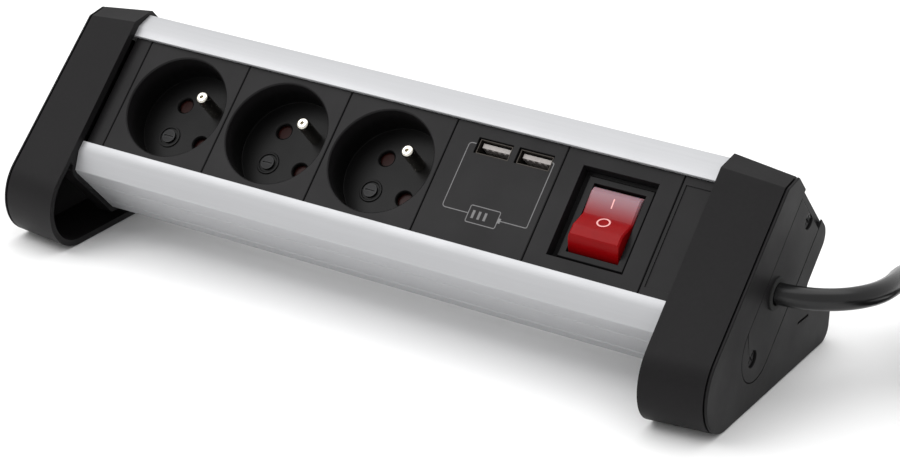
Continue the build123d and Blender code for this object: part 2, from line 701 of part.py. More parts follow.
def cord_coil():
    """Outer shape of the wound length: a flat ring, two layers high, resting on its tie."""
    grow = CORD_D / 2 + COIL_ROOM
    height = CORD_D + (COIL_LAYERS - 1) * COIL_PITCH
    ring = Cylinder(COIL_R_OUT + grow, height) - Cylinder(COIL_R_IN - grow, height)
    ring = Pos(*COIL_C, height / 2) * fillet(ring.edges(), 3.0)
    return ring - tie_block(TIE_T, -1.0, TIE_T + 0.1)


def tie_block(thick, z0, z1):
    """Box across the coil's front side, `thick` wider than the bundle on either side."""
    bundle = (COIL_R_OUT - COIL_R_IN + CORD_D + 2 * COIL_ROOM) / 2 + 0.7
    y = COIL_C[1] - (COIL_R_OUT + COIL_R_IN) / 2 + 0.3
    x = COIL_C[0]
    return block(x - 7.0, x + 7.0, y - bundle - thick, y + bundle + thick, z0, z1)


def coil_tie():
    """Soft strap round the bundle, opposite the place where the cord comes in."""
    top = CORD_D + COIL_PITCH + 0.1
    strap = tie_block(TIE_T, 0.0, top + TIE_T)
    strap -= tie_block(0.0, TIE_T, top)
    return strap


def cord_tail():
    """Short straight length from the coil's top layer into the plug's sleeve."""
    start = Vector(PLUG_X, COIL_C[1], CORD_D / 2 + COIL_PITCH)
    end = Vector(PLUG_X, TAIL_Y, PLUG_Z)
    run = (end - start) * 1.1
    tail = Plane(origin=start + run / 2, z_dir=run).location * Cylinder(CORD_D / 2, run.length)
    return tail - Pos(PLUG_X, TAIL_Y - 10.0, PLUG_Z) * Box(20.0, 20.0, 20.0)


def rod_y(r, x, z, y0, y1):
    """Cylinder from front to back."""
    return Pos(x, (y0 + y1) / 2, z) * Rot(90, 0, 0) * Cylinder(r, abs(y1 - y0))


def plug_relief():
    """Tapered sleeve where the cord enters the plug."""
    middle = Pos(PLUG_X, TAIL_Y - RELIEF_LONG / 2, PLUG_Z)
    return middle * Rot(90, 0, 0) * Cone(5.4, 8.0, RELIEF_LONG)


def plug_body():
    """Round moulded plug with two flat sides, narrowing towards the cord."""
    y1 = TAIL_Y - RELIEF_LONG
    y0 = y1 - PLUG_LONG
    back_long = PLUG_LONG - 17.0
    body = rod_y(PLUG_Z, PLUG_X, PLUG_Z, y0, y0 + 17.0)
    back = Cone(11.0, PLUG_Z, back_long)
    body += Pos(PLUG_X, y1 - back_long / 2, PLUG_Z) * Rot(90, 0, 0) * back
    body &= Pos(PLUG_X, (y0 + y1) / 2, PLUG_Z) * Box(35.0, 60.0, 2 * PLUG_Z)
    for side in (-1, 1):
        body -= rod_y(PIN_ROOT_R, PLUG_X + side * PIN_PITCH / 2, PLUG_Z, y0 - 1, y0 + 9.0)
    body -= rod_y(2.7, PLUG_X, PLUG_Z + EARTH_OFFSET, y0 - 1, y0 + 17.0)
    return body


def plug_pins():
    front = TAIL_Y - RELIEF_LONG - PLUG_LONG
    pins = []
    for side in (-1, 1):
        x = PLUG_X + side * PIN_PITCH / 2
        pin = rod_y(PIN_R, x, PLUG_Z, front - PIN_LONG, front)
        pin = fillet(pin.edges().group_by(Axis.Y)[0], 1.2)
        pins.append(pin + rod_y(PIN_ROOT_R, x, PLUG_Z, front, front + 9.0))
    return pins


# ---------------------------------------------------------------- the assembly
save("aluminium_profile", aluminium_profile())
for side, place in (("left", mirrored), ("right", lambda piece: piece)):
    with_cord = side == "right"
    save(f"{side}_cap_shell", place(cap_shell(with_cord)))
    save(f"{side}_end_plate", place(end_plate(with_cord)))
    save(f"{side}_cover_strip", place(cover_strip(with_cord)))
    save(f"{side}_cap_screws", *[place(screw) for screw in cap_screws()])
save("foot_pads", *foot_pads())
save("blank_strip", blank_strip())
save("end_panel", end_panel())

for number, x in enumerate(SOCKET_X, start=1):
    save(f"socket_{number}_housing", socket_housing(x))
    save(f"socket_{number}_shutter", socket_shutter(x))
    save(f"socket_{number}_earth_pin", earth_pin(x))
    save(f"socket_{number}_sleeves", *contact_sleeves(x))
    save(f"socket_{number}_rear_cover", socket_rear(x))
save("shutter_springs", *[shutter_spring(x) for x in SOCKET_X])
save("socket_screws", *[socket_screw(x) for x in SOCKET_X])
save("live_bar", live_bar())
save("neutral_bar", neutral_bar())
save("earth_bar", earth_bar())

save("usb_face", usb_face())
for number, px in enumerate(PORT_X, start=1):
    save(f"usb_shell_{number}", usb_shell(px))
    save(f"usb_tongue_{number}", usb_tongue(px))
save("usb_board", usb_board())
save("usb_transformer", usb_transformer())
save("usb_capacitors", *usb_capacitors())

save("switch_frame", switch_frame())
save("switch_body", switch_body())
save("rocker", rocker())
save("rocker_plunger", plunger())
save("neon_lamp", neon_lamp())
save("contact_levers", contact_levers())
save("switch_terminals", *switch_terminals())

for name, core in cord_cores().items():
    save(name, core)
save("cord_clamp", cord_clamp())
save("clamp_screws", *clamp_screws())
save("cord_bush", cord_bush())
save("mains_cord", mains_cord())
save("cord_coil", cord_coil())
save("cord_tail", cord_tail())
save("coil_tie", coil_tie())
save("plug_relief", plug_relief())
save("plug_body", plug_body())
save("plug_pins", *plug_pins())
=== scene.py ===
# %% [markdown]
# # A desk power strip, dressed around its working model
# The working model has every piece at its real size. This notebook keeps that model as a
# fixed frame and gives it the looks: rounded edges, moulded and anodised surfaces, printed
# marks, and a cord that is one flexible length with its coil and its plug.
#
# Units are metres. +X runs along the strip, -Y is the user's side, +Z is up.

# %% Load the frame
import json
import math

import bmesh
import bpy
from mathutils import Matrix, Vector


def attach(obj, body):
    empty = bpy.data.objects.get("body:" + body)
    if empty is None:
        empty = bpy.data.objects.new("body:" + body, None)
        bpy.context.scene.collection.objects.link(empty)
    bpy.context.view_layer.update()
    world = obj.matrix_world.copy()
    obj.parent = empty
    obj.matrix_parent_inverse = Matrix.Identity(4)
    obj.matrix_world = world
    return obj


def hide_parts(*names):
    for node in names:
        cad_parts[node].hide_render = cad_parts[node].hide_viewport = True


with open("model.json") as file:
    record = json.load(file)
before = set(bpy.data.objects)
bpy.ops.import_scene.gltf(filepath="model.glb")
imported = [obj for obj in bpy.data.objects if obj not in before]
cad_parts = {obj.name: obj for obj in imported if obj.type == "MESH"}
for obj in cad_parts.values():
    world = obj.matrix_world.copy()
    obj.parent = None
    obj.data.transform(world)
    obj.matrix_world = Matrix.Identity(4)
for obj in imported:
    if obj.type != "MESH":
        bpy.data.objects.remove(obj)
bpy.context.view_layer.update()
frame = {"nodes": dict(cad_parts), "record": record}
MM = 0.001
body_of_node = {n: body for body, members in frame["record"]["behaviour"]["bodies"].items() for n in members}


def put_in_scene(name, data):
    """New object at the origin, linked to the scene."""
    placed = bpy.data.objects.new(name, data)
    bpy.context.scene.collection.objects.link(placed)
    return placed


# %% [markdown]
# ## Camera
# The strip is seen from the front right and from above, with a long lens, so that its
# edges stay nearly parallel. A camera is placed by a point, a direction and a little roll:
# the direction becomes a rotation with `to_track_quat`, and the roll turns it on its own axis.

# %% Camera
CAMERA_AT = Vector((463.05, -779.3, 426.6)) * MM
CAMERA_TURN, CAMERA_DIP, CAMERA_ROLL = math.radians(29.72), math.radians(23.97), math.radians(2.254)
LENS = 108.0

view_line = Vector((
    -math.sin(CAMERA_TURN) * math.cos(CAMERA_DIP),
    math.cos(CAMERA_TURN) * math.cos(CAMERA_DIP),
    -math.sin(CAMERA_DIP),
))
turn = view_line.to_track_quat("-Z", "Y").to_matrix() @ Matrix.Rotation(CAMERA_ROLL, 3, "Z")
camera = put_in_scene("camera", bpy.data.cameras.new("camera"))
camera.data.lens = LENS
camera.data.sensor_width = 36.0
camera.data.clip_start = 0.05
camera.matrix_world = Matrix.Translation(CAMERA_AT) @ turn.to_4x4()
bpy.context.scene.camera = camera
bpy.context.scene.view_settings.view_transform = "Standard"
print("camera", camera.location[:])

# %% [markdown]
# ## The leaning face
# The profile leans back at 45 degrees. Marks are easiest to draw lying flat, so the matrix
# from `face_frame` carries anything drawn flat (x along the strip, y up the slope, z out of
# the face) to its place. The driving sizes are those of the working model: where the charger
# and the switch sit, and how deep the rocker's pivot and fold lie and how they turn.

# %% The face's own frame
FACE_Y, FACE_Z = -15.7, 56.4
USB_X, SWITCH_X = 42.25, 87.25
PIVOT_W, V_DEPTH, V_SLOPE, ROCKER_HALF_TURN = -10.4, 7.4, 18.0, 14.0
S = math.sqrt(0.5)


def face_frame(x):
    """Matrix from a flat drawing in millimetres to the slope, in metres, centred on x."""
    place = Matrix.Translation(Vector((x, FACE_Y, FACE_Z)) * MM)
    return place @ Matrix.Rotation(math.radians(45), 4, "X") @ Matrix.Scale(MM, 4)


def spot(u, w):
    """World (y, z), in millimetres, of a point of the flat section."""
    return FACE_Y + (u - w) * S, FACE_Z + (u + w) * S


print("face centre", face_frame(0).translation[:])

# %% [markdown]
# ## Cord: one spline from the gland to the plug
# A mains lead is a fixed length of round flexible stuff. It comes straight out of the end
# plate, swings back past the strip in one bend while it sinks to the desk, and the rest
# is wound into a flat coil of two layers. It is one NURBS spline: the route's points, then
# the coil's turns from a loop, then the few points that lift it into the plug.
# The order and the end condition are set after the points are there, or they do nothing.

# %% Cord route and coil
CORD_D = 8.0
CORD_U, CORD_W = -1.9, -23.6
EXIT_Y, EXIT_Z = spot(CORD_U, CORD_W)
CORD_START_X, CORD_EXIT_X = 137.25, 147.05
ROUTE = [
    (CORD_START_X, EXIT_Y, EXIT_Z),
    (152.5, EXIT_Y, EXIT_Z),
    (166.5, 7.4, 38.0),
    (174.6, 21.3, 37.0),
    (175.0, 38.3, 34.5),
    (170.8, 56.1, 30.0),
    (169.7, 75.0, 23.5),
    (176.2, 91.6, 14.5),
    (188.8, 104.2, 7.5),
    (205.0, 110.9, 4.2),
    (221.0, 111.8, CORD_D / 2),
]
COIL_AT = (235.0, 59.5)
COIL_R_OUT, COIL_R_IN = 52.0, 34.8
LAYER_RISE = 8.1
TURNS_PER_LAYER = 2.125
CLIMB_TURNS = 0.35
STEPS_PER_TURN = 16
TIE_LIFT, TIE_REACH, TIE_ANGLE = 0.9, 20.0, 270.0
PLUG_X, PLUG_Z = 287.0, 19.5


def coil_points():
    """Clockwise turns: inwards on the desk, then outwards on top of them."""
    points = []
    count = round(2 * TURNS_PER_LAYER * STEPS_PER_TURN)
    # control points stand a little outside the circle that the spline then follows
    outside = 1 / math.cos(math.pi / STEPS_PER_TURN)
    for i in range(count + 1):
        turns = i / STEPS_PER_TURN
        away = abs(turns - TURNS_PER_LAYER) / TURNS_PER_LAYER
        radius = (COIL_R_IN + (COIL_R_OUT - COIL_R_IN) * away) * outside
        climb = min(max((turns - TURNS_PER_LAYER) / CLIMB_TURNS + 0.5, 0.0), 1.0)
        angle = math.pi / 2 - 2 * math.pi * turns
        past_tie = (math.degrees(angle) - TIE_ANGLE) % 360
        from_tie = min(past_tie, 360 - past_tie)
        lift = TIE_LIFT * math.exp(-((from_tie / TIE_REACH) ** 2))
        z = CORD_D / 2 + LAYER_RISE * climb * climb * (3 - 2 * climb) + lift
        points.append((COIL_AT[0] + radius * math.cos(angle), COIL_AT[1] + radius * math.sin(angle), z))
    return points


tail = [(PLUG_X, y, z) for y, z in ((47.0, 13.4), (38.5, 17.8), (30.0, PLUG_Z), (19.0, PLUG_Z))]
curve = bpy.data.curves.new("cord", "CURVE")
curve.dimensions = "3D"
curve.bevel_depth = CORD_D / 2 * MM
curve.bevel_resolution = 5
curve.resolution_u = 6
curve.use_fill_caps = True
spline = curve.splines.new("NURBS")
points = ROUTE + coil_points() + tail
spline.points.add(len(points) - 1)
for point, place in zip(spline.points, points):
    point.co = (*(Vector(place) * MM), 1.0)
spline.order_u = 3
spline.use_endpoint_u = True
cord = put_in_scene("cord", curve)
bpy.context.view_layer.update()
print("cord points", len(points), "length", round(spline.calc_length(), 3))

# %% [markdown]
# ## Materials: shared effects
# Three effects turn up on nearly every surface: a fine moulded grain, a slow unevenness of
# gloss from handling, and edges that catch a little more light where they are rubbed.
# Each is a node group with named sockets, built once. The Principled shader stays in each
# material, so that gloss is worked out where the surface is.

# %% Shared node groups
def new_group(name, inputs, outputs):
    """Empty shader group with (name, kind, default) inputs; returns it with its two end nodes."""
    group = bpy.data.node_groups.new(name, "ShaderNodeTree")
    for title, kind, value in inputs:
        socket = group.interface.new_socket(title, in_out="INPUT", socket_type=kind)
        if value is not None:
            socket.default_value = value
    for title, kind in outputs:
        group.interface.new_socket(title, in_out="OUTPUT", socket_type=kind)
    return group, group.nodes.new("NodeGroupInput"), group.nodes.new("NodeGroupOutput")


def add(tree, kind, links=None, **values):
    """New node with its settings; links maps an input's name or number to an output."""
    node = tree.nodes.new(kind)
    for name, value in values.items():
        setattr(node, name, value)
    for key, source in (links or {}).items():
        if hasattr(source, "is_linked"):
            tree.links.new(source, node.inputs[key])
        else:
            node.inputs[key].default_value = source
    return node


FLOAT, VECTOR = "NodeSocketFloat", "NodeSocketVector"


def grain_group():
    """Fine moulded grain: a bump of rounded cells over a softer one."""
    group, start, end = new_group(
        "moulded_grain",
        [("Vector", VECTOR, None), ("Scale", FLOAT, 1500.0), ("Depth", FLOAT, 0.00002),
         ("Strength", FLOAT, 0.3)],
        [("Normal", VECTOR)])
    where = {"Vector": start.outputs["Vector"], "Scale": start.outputs["Scale"]}
    cells = add(group, "ShaderNodeTexVoronoi", where, feature="SMOOTH_F1")
    soft = add(group, "ShaderNodeTexNoise", {**where, "Detail": 3.0})
    both = add(group, "ShaderNodeMath", {0: cells.outputs["Distance"], 1: soft.outputs["Fac"]},
               operation="ADD")
    bump = add(group, "ShaderNodeBump", {"Strength": start.outputs["Strength"],
                                         "Distance": start.outputs["Depth"],
                                         "Height": both.outputs[0]})
    group.links.new(bump.outputs["Normal"], end.inputs["Normal"])
    return group


def mottle_group():
    """Slow unevenness between two values, as handling leaves on gloss and colour."""
    group, start, end = new_group(
        "handling_mottle",
        [("Vector", VECTOR, None), ("Scale", FLOAT, 40.0), ("Low", FLOAT, 0.4), ("High", FLOAT, 0.5)],
        [("Value", FLOAT)])
    wide = add(group, "ShaderNodeTexNoise", {"Vector": start.outputs["Vector"],
                                             "Scale": start.outputs["Scale"],
                                             "Detail": 5.0, "Roughness": 0.6})
    ranged = add(group, "ShaderNodeMapRange", {"Value": wide.outputs["Fac"],
                                               "From Min": 0.3, "From Max": 0.7,
                                               "To Min": start.outputs["Low"],
                                               "To Max": start.outputs["High"]})
    group.links.new(ranged.outputs["Result"], end.inputs["Value"])
    return group


def rub_group():
    """Mask that is 1 where an edge turns sharply and 0 on flat ground."""
    group, start, end = new_group(
        "edge_rub", [("Width", FLOAT, 0.0006), ("Gain", FLOAT, 4.0)], [("Mask", FLOAT)])
    rounded = add(group, "ShaderNodeBevel", {"Radius": start.outputs["Width"]}, samples=4)
    true = add(group, "ShaderNodeNewGeometry")
    same = add(group, "ShaderNodeVectorMath", {0: rounded.outputs["Normal"], 1: true.outputs["Normal"]},
               operation="DOT_PRODUCT")
    turned = add(group, "ShaderNodeMath", {0: 1.0, 1: same.outputs["Value"]}, operation="SUBTRACT")
    mask = add(group, "ShaderNodeMath", {0: turned.outputs[0], 1: start.outputs["Gain"]},
               operation="MULTIPLY", use_clamp=True)
    group.links.new(mask.outputs[0], end.inputs["Mask"])
    return group


GRAIN, MOTTLE, RUB = grain_group(), mottle_group(), rub_group()
print("node groups:", [g.name for g in (GRAIN, MOTTLE, RUB)])

# %% [markdown]
# ## Materials: a recipe for solid finishes
# Most finishes here differ only in a few numbers: colour, gloss, how deep the grain is and
# how much the edges are rubbed. One recipe takes those numbers. The flat values go straight
# onto the shader's sockets; only colour, roughness and the normal are driven by nodes.

# %% The finish recipe
MOTTLE_SCALE = 40.0
TINT_SCALE = 0.35


def linear(*rgb):
    """Linear colour from 0-255 display values."""
    shares = (v / 255 for v in rgb)
    return tuple(v / 12.92 if v <= 0.04045 else ((v + 0.055) / 1.055) ** 2.4 for v in shares) + (1.0,)


def finish(name, colour, rough=(0.4, 0.5), metal=0.0, grain=(1500.0, 0.00002, 0.3), stretch=(1, 1, 1),
           rub=0.0, tint=0.12, **sockets):
    """Principled material with grain, handling mottle and rubbed edges; `sockets` are flat values."""
    material = bpy.data.materials.new(name)
    material.use_nodes = True
    tree = material.node_tree
    shader = tree.nodes["Principled BSDF"]
    where = add(tree, "ShaderNodeTexCoord")
    placed = add(tree, "ShaderNodeMapping", {"Vector": where.outputs["Object"], "Scale": stretch})
    fine = add(tree, "ShaderNodeGroup", node_tree=GRAIN)
    tree.links.new(placed.outputs["Vector"], fine.inputs["Vector"])
    for key, value in zip(("Scale", "Depth", "Strength"), grain):
        fine.inputs[key].default_value = value
    gloss = add(tree, "ShaderNodeGroup", node_tree=MOTTLE)
    tree.links.new(where.outputs["Object"], gloss.inputs["Vector"])
    for key, value in zip(("Scale", "Low", "High"), (MOTTLE_SCALE, *rough)):
        gloss.inputs[key].default_value = value
    shade = add(tree, "ShaderNodeGroup", node_tree=MOTTLE)
    tree.links.new(placed.outputs["Vector"], shade.inputs["Vector"])
    for key, value in zip(("Scale", "Low", "High"), (grain[0] * TINT_SCALE, 1 - tint, 1 + tint)):
        shade.inputs[key].default_value = value
    base = add(tree, "ShaderNodeVectorMath", {0: colour[:3], "Scale": shade.outputs["Value"]},
               operation="SCALE")
    paint = base.outputs["Vector"]
    if rub:
        edge = add(tree, "ShaderNodeGroup", node_tree=RUB)
        strength = add(tree, "ShaderNodeMath", {0: edge.outputs["Mask"], 1: rub}, operation="MULTIPLY")
        pale = tuple(min(1.0, c * 2.2 + 0.03) for c in colour[:3]) + (1.0,)
        mixed = add(tree, "ShaderNodeMix", {"Factor": strength.outputs[0], 6: paint, 7: pale},
                    data_type="RGBA")
        paint = mixed.outputs[2]
    tree.links.new(paint, shader.inputs["Base Color"])
    tree.links.new(gloss.outputs["Value"], shader.inputs["Roughness"])
    tree.links.new(fine.outputs["Normal"], shader.inputs["Normal"])
    shader.inputs["Metallic"].default_value = metal
    for key, value in sockets.items():
        shader.inputs[key.replace("_", " ")].default_value = value
    return material


print("recipe ready; a mid grey is", [round(c, 3) for c in linear(128, 128, 128)])

# %% [markdown]
# ## Materials: the black plastics and the metals
# The profile is clear-anodised aluminium: pale, half metallic, with die lines along its
# length, so its grain is stretched along X. The caps are black plastic with a fine
# spark-eroded texture, the module faces the same black but smoother. The metals differ
# mostly in colour and in how sharp their gloss is. The keys are the model's slot names.

# %% Outer plastics and metals
ALONG_X = (0.02, 1.0, 1.0)
finishes = {
    "anodised": finish(
        "satin anodised aluminium", (0.44, 0.443, 0.455, 1.0), (0.42, 0.50), 0.4,
        (2600.0, 0.000005, 0.25), ALONG_X, rub=0.04, tint=0.02, Anisotropic=0.3),
    "cap_plastic": finish(
        "black cap plastic, eroded texture", linear(21, 20, 21), (0.44, 0.54), 0.0,
        (2300.0, 0.00003, 0.38), rub=0.06, tint=0.10, Specular_IOR_Level=0.14),
    "face_plastic": finish(
        "black module plastic, smooth satin", linear(21, 20, 21), (0.38, 0.46), 0.0,
        (3200.0, 0.000012, 0.25), rub=0.04, tint=0.06, Specular_IOR_Level=0.14),
    "pad_rubber": finish(
        "soft black rubber", linear(20, 20, 20), (0.7, 0.82), 0.0, (1800.0, 0.00003, 0.4)),
    "screw_steel": finish(
        "blackened screw steel", linear(24, 24, 25), (0.4, 0.5), 0.6, (1500.0, 0.00001, 0.3), rub=0.5),
    "pin_nickel": finish(
        "nickel-plated brass", linear(214, 210, 200), (0.16, 0.24), 1.0, (1200.0, 0.000004, 0.2),
        rub=0.2, tint=0.04),
    "contact_brass": finish(
        "plain brass strip", linear(196, 158, 84), (0.26, 0.36), 1.0, (1400.0, 0.000006, 0.25),
        ALONG_X, tint=0.08),
    "spring_steel": finish(
        "spring steel wire", linear(160, 161, 165), (0.25, 0.34), 1.0, (1500.0, 0.000005, 0.2)),
}
print("so far", len(finishes), "finishes")

# %% [markdown]
# ## Materials: inside pieces, rocker and cord
# The shutters show through the pin holes as a dark red-brown. The rocker is clear red
# plastic over a lamp, so it scatters a little light under its surface. The cord's sheath is
# softer and glossier than the caps. The three cores have their usual colours.

# %% Inner pieces, rocker and cord
FINE_GRAIN = (1500.0, 0.00001, 0.2)
finishes |= {
    "shutter_plastic": finish(
        "red-brown shutter plastic", linear(40, 12, 9), (0.34, 0.44), 0.0, FINE_GRAIN,
        Specular_IOR_Level=0.12),
    "pale_insulator": finish(
        "pale insulating plastic", linear(164, 158, 155), (0.4, 0.5), 0.0, (1600.0, 0.00001, 0.2)),
    "board_laminate": finish(
        "green board laminate", linear(28, 92, 52), (0.3, 0.42), 0.0, (900.0, 0.00002, 0.4), tint=0.2),
    "winding_wrap": finish(
        "yellow winding tape", linear(206, 170, 60), (0.28, 0.4), 0.0, (700.0, 0.00003, 0.4)),
    "capacitor_sleeve": finish(
        "black shrink sleeve", linear(34, 36, 52), (0.25, 0.35), 0.0, (900.0, 0.00001, 0.3)),
    "rocker_red": finish(
        "clear red rocker plastic", linear(134, 4, 8), (0.28, 0.34), 0.0, (700.0, 0.000004, 0.1),
        tint=0.05, Specular_IOR_Level=0.1, Subsurface_Weight=0.2, Subsurface_Scale=0.002),
    "lamp_glass": finish(
        "lamp glass", linear(246, 214, 190), (0.04, 0.08), 0.0, (300.0, 0.000003, 0.1),
        Transmission_Weight=0.85),
    "core_brown": finish("brown core insulation", linear(112, 66, 36), (0.36, 0.46), 0.0, FINE_GRAIN),
    "core_blue": finish("blue core insulation", linear(34, 84, 168), (0.36, 0.46), 0.0, FINE_GRAIN),
    "core_green": finish("green core insulation", linear(88, 150, 44), (0.36, 0.46), 0.0, FINE_GRAIN),
    "cord_sheath": finish(
        "black cord sheath", linear(12, 12, 13), (0.22, 0.28), 0.0, (1100.0, 0.00001, 0.2),
        tint=0.08, Specular_IOR_Level=0.4),
    "tie_plastic": finish(
        "woven tie strap", linear(30, 30, 31), (0.6, 0.72), 0.0, (900.0, 0.00006, 0.5)),
    "plug_plastic": finish(
        "black plug plastic", linear(30, 29, 30), (0.4, 0.5), 0.0, (1900.0, 0.00003, 0.35),
        rub=0.08, Specular_IOR_Level=0.25),
}
slot_of_node = {s["node"]: s["material_slot"] for s in frame["record"]["subparts"]}
for node, piece in frame["nodes"].items():
    piece.data.materials.clear()
    piece.data.materials.append(finishes[slot_of_node[node]])
print(len(finishes), "finishes on", len(frame["nodes"]), "nodes")

# %% [markdown]
# ## Materials: print, marks and port shells
# Print is a thin matt grey, and the rocker's marks are a pale pink. The two port shells get a duller
# nickel than the earth pins, and a much darker one: painted shade for the dark inside of the ports.

# %% Print and port shells
SMOOTH_GRAIN = (1500.0, 0.000004, 0.2)
PRINT = finish("pale grey print", linear(104, 103, 104), (0.5, 0.6), 0.0, SMOOTH_GRAIN)
MARK = finish("pale mark on the rocker", linear(236, 170, 168), (0.3, 0.4), 0.0,
              (1500.0, 0.000004, 0.1))
# painted shade: the shells' nickel is darkened to stand for the shade inside the ports
SHADE_DARKENED_SHELL = finish("port shell nickel darkened as painted shade", linear(62, 58, 54), (0.4, 0.5), 0.8, SMOOTH_GRAIN)
print("also", [m.name for m in (PRINT, MARK, SHADE_DARKENED_SHELL)])

# %% [markdown]
# ## Materials: colour that comes in along an axis
# The rocker's upper end is painted paler, a painted reflection of the soft box above it,
# and the black of the faces is painted darker inside the recesses, as painted shade. One helper
# does both: it measures how far a point lies along an axis of the leaning face, and lets a second colour in
# between two distances.

# %% Blend a second colour in
UP_SLOPE, INTO_FACE = (0.0, S, S), (0.0, S, -S)


def blend_along(material, colour, axis, start_mm, full_mm, share):
    """Second colour coming in along an axis, between two distances from the face's centre line."""
    tree = material.node_tree
    shader = tree.nodes["Principled BSDF"]
    paint = shader.inputs["Base Color"].links[0].from_socket
    where = add(tree, "ShaderNodeTexCoord")
    along = add(tree, "ShaderNodeVectorMath", {0: where.outputs["Object"], 1: axis},
                operation="DOT_PRODUCT")
    origin = FACE_Y * axis[1] + FACE_Z * axis[2]
    ramp = add(tree, "ShaderNodeMapRange", {"Value": along.outputs["Value"],
                                            "From Min": (origin + start_mm) * MM,
                                            "From Max": (origin + full_mm) * MM},
               interpolation_type="SMOOTHSTEP")
    amount = add(tree, "ShaderNodeMath", {0: ramp.outputs["Result"], 1: share}, operation="MULTIPLY")
    mixed = add(tree, "ShaderNodeMix", {"Factor": amount.outputs[0], 6: paint, 7: colour},
                data_type="RGBA")
    tree.links.new(mixed.outputs[2], shader.inputs["Base Color"])


# painted reflection: the rocker's red turns paler up the slope, standing in for the soft box's reflection
blend_along(finishes["rocker_red"], linear(154, 129, 137), UP_SLOPE, 0.0, 12.0, 0.85)
# painted shade: the module faces' black gets darker with depth inside the recesses
blend_along(finishes["face_plastic"], linear(6, 6, 6), INTO_FACE, 2.0, 9.0, 0.8)
print("blended the rocker's painted_reflection and the recesses' shade")

# %% [markdown]
# ## Rounded edges
# Real moulded and sawn edges are never knife-sharp, and the thin highlight along them is
# what makes a surface read as solid. Each visible piece is taken as a copy of its working
# shape: the copy's loose triangles are merged, flat areas are joined again, and a Bevel
# modifier rounds what is left of the sharp edges. Weighted normals then keep the flat faces
# flat beside their rounded edges. The working shape itself stays as it is.

# %% Round a working piece
MERGE_WITHIN = 0.000002
FLAT_WITHIN, SHARP_FROM = math.radians(0.6), math.radians(30)
EDGE_SEGMENTS = 2


def softened(node, width):
    """Copy of a working piece with rounded edges, which is shown in its place."""
    bm = bmesh.new()
    bm.from_mesh(frame["nodes"][node].data)
    bmesh.ops.remove_doubles(bm, verts=bm.verts, dist=MERGE_WITHIN)
    bmesh.ops.dissolve_limit(bm, angle_limit=FLAT_WITHIN, verts=bm.verts, edges=bm.edges)
    mesh = bpy.data.meshes.new(node + "_finished")
    bm.to_mesh(mesh)
    bm.free()
    return shown_piece(mesh, node, width)


def shown_piece(mesh, node, width):
    """Put a mesh in place of a working piece, with its finish and its rounded edges."""
    piece = put_in_scene(mesh.name, mesh)
    mesh.materials.clear()
    mesh.materials.append(finishes[slot_of_node[node]])
    mesh.shade_smooth()
    if width:
        bevel = piece.modifiers.new("rounded edges", "BEVEL")
        bevel.width = width * MM
        bevel.segments = EDGE_SEGMENTS
        bevel.limit_method = "ANGLE"
        bevel.angle_limit = SHARP_FROM
        bevel.use_clamp_overlap = True
        flat = piece.modifiers.new("flat faces stay flat", "WEIGHTED_NORMAL")
        flat.weight = 100
    else:
        mesh.set_sharp_from_angle(angle=SHARP_FROM)
    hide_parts(node)
    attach(piece, body_of_node[node])
    return piece


print("pieces with no rounding are kept sharp from", round(math.degrees(SHARP_FROM)), "degrees")

# %% Edge widths in millimetres
ROUNDED = {
    "aluminium_profile": 0.25, "foot_pads": 0.2, "blank_strip": 0.12, "end_panel": 0.12,
    "usb_face": 0.15, "switch_frame": 0.15, "switch_body": 0.25, "rocker": 0.5,
    "cord_bush": 0.2, "coil_tie": 0.3, "plug_body": 1.2, "plug_pins": 0.0,
}
for side in ("left", "right"):
    ROUNDED.update({f"{side}_cap_shell": 0.5, f"{side}_end_plate": 0.2, f"{side}_cover_strip": 0.25,
                    f"{side}_cap_screws": 0.1})
for number in (1, 2, 3):
    ROUNDED.update({f"socket_{number}_housing": 0.2, f"socket_{number}_earth_pin": 0.1})
for number in (1, 2):
    ROUNDED.update({f"usb_shell_{number}": 0.08, f"usb_tongue_{number}": 0.1})
finished = {node: softened(node, width) for node, width in ROUNDED.items()}
# the port shells take the nickel darkened as painted shade
for number in (1, 2):
    finished[f"usb_shell_{number}"].data.materials[0] = SHADE_DARKENED_SHELL
print("rounded", len(finished), "pieces")

# %% [markdown]
# ## Printed marks
# The charger face carries a fine grey line that runs from one port, round a small battery
# sign, to the other port. The rocker has the usual ring for off and bar for on. Print is
# almost flat, so each mark is a thin tube along a path of points, made a mesh, pressed flat
# and then carried to its face by a matrix. The rocker's marks ride on the rocker.

# %% Printed lines
def soft_corners(points, radius, steps=5):
    """Path with each inner corner replaced by a small curve."""
    path = [Vector(points[0])]
    for a, b, c in zip(points, points[1:], points[2:]):
        a, b, c = Vector(a), Vector(b), Vector(c)
        start, end = b + (a - b).normalized() * radius, b + (c - b).normalized() * radius
        for i in range(steps + 1):
            t = i / steps
            path.append(start.lerp(b, t).lerp(b.lerp(end, t), t))
    return path + [Vector(points[-1])]


def printed_line(name, paths, width, height, place, body, material, closed=False):
    """Flat line along the paths (x, u in millimetres), `height` thick over its face."""
    curve = bpy.data.curves.new(name, "CURVE")
    curve.dimensions = "3D"
    curve.bevel_depth = width / 2
    curve.bevel_resolution = 2
    curve.use_fill_caps = not closed
    for path in paths:
        spline = curve.splines.new("POLY")
        spline.points.add(len(path) - 1)
        spline.use_cyclic_u = closed
        for point, (x, u) in zip(spline.points, path):
            point.co = (x, u, 0.0, 1.0)
    drawn = put_in_scene(name + "_path", curve)
    bpy.context.view_layer.update()
    mesh = bpy.data.meshes.new_from_object(drawn)
    bpy.data.objects.remove(drawn)
    mesh.transform(place @ Matrix.Diagonal((1.0, 1.0, 2 * height / width, 1.0)))
    mesh.materials.clear()
    mesh.materials.append(material)
    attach(put_in_scene(name, mesh), body)


PRINT_H = 0.04
print("print stands", PRINT_H, "mm over its face")

# %% [markdown]
# ## Marks on the charger and on the rocker
# The charger's marks are laid out round its own middle, in millimetres along the strip and
# up the slope. The rocker's two halves slope to a fold over its pivot, and the resting
# rocker leans half its travel, so each half has its own matrix.

